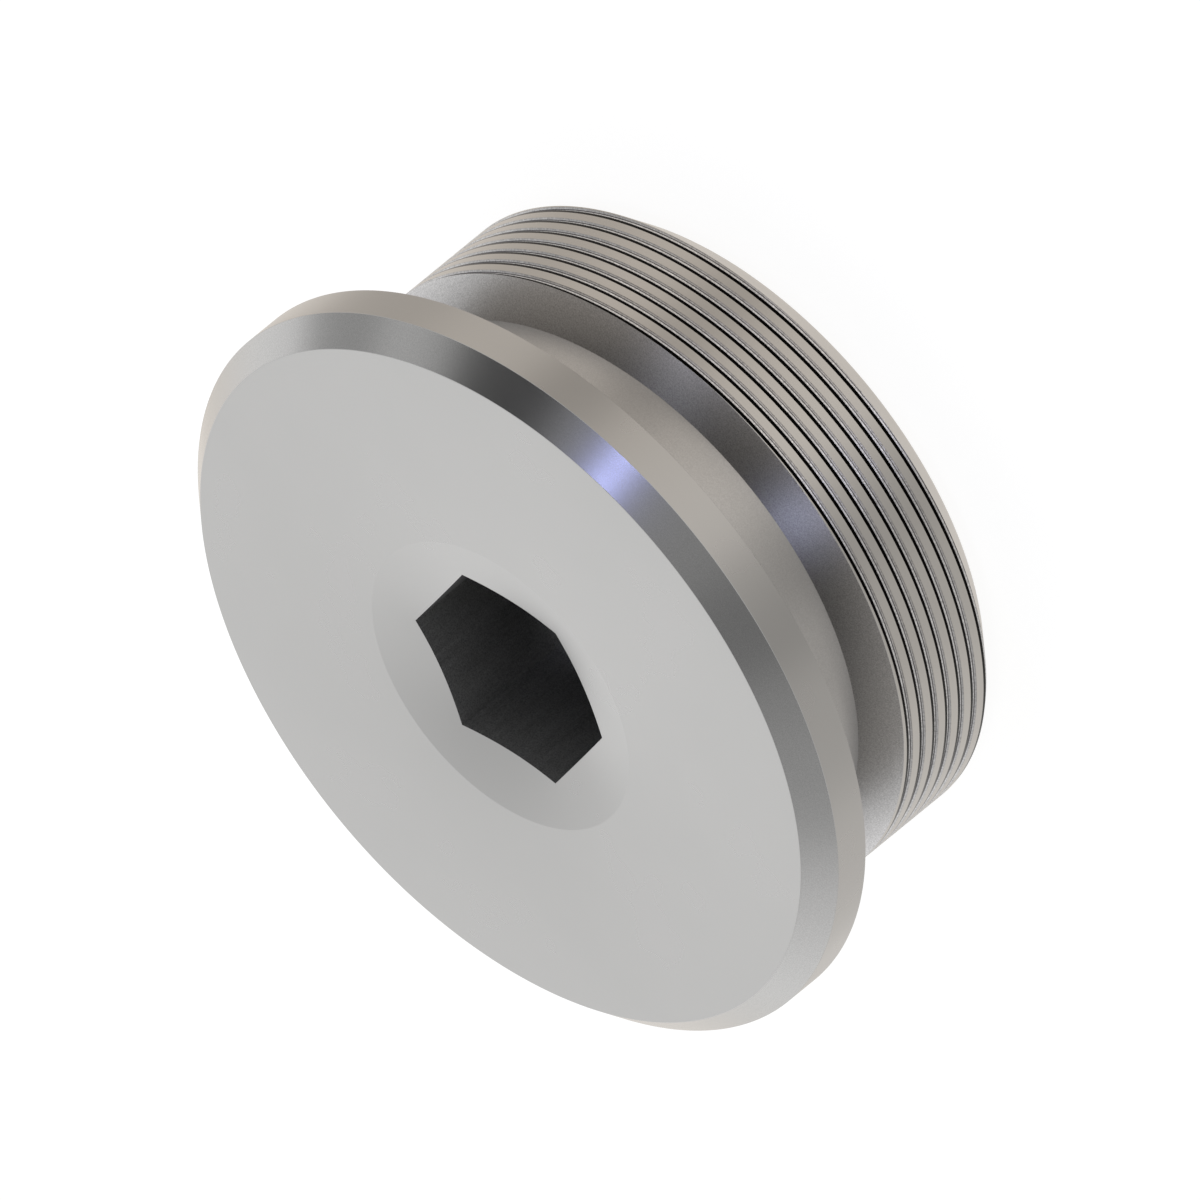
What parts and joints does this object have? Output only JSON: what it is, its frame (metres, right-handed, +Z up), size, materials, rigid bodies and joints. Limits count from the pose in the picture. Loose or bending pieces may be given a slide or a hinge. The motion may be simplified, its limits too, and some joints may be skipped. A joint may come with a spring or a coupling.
{
  "type": "screw plug",
  "caption": "Steel screw plug for a threaded port: bevelled round flange with a hexagon key socket in a shallow dish, plain neck for a seal ring, and a short fine-pitch thread.",
  "frame": {"origin": "centre of the threaded end face, which the plug stands on", "axes": "+Z up along the plug's axis, from the threaded end to the head; -Y towards a corner of the hexagon socket; X square to two of its flats"},
  "size_m": [0.088, 0.088, 0.0362],
  "materials": {
    "steel": "fine turned stainless steel with a soft satin shine"
  },
  "bodies": {
    "root": {"plug_body": "steel"}
  },
  "joints": []
}
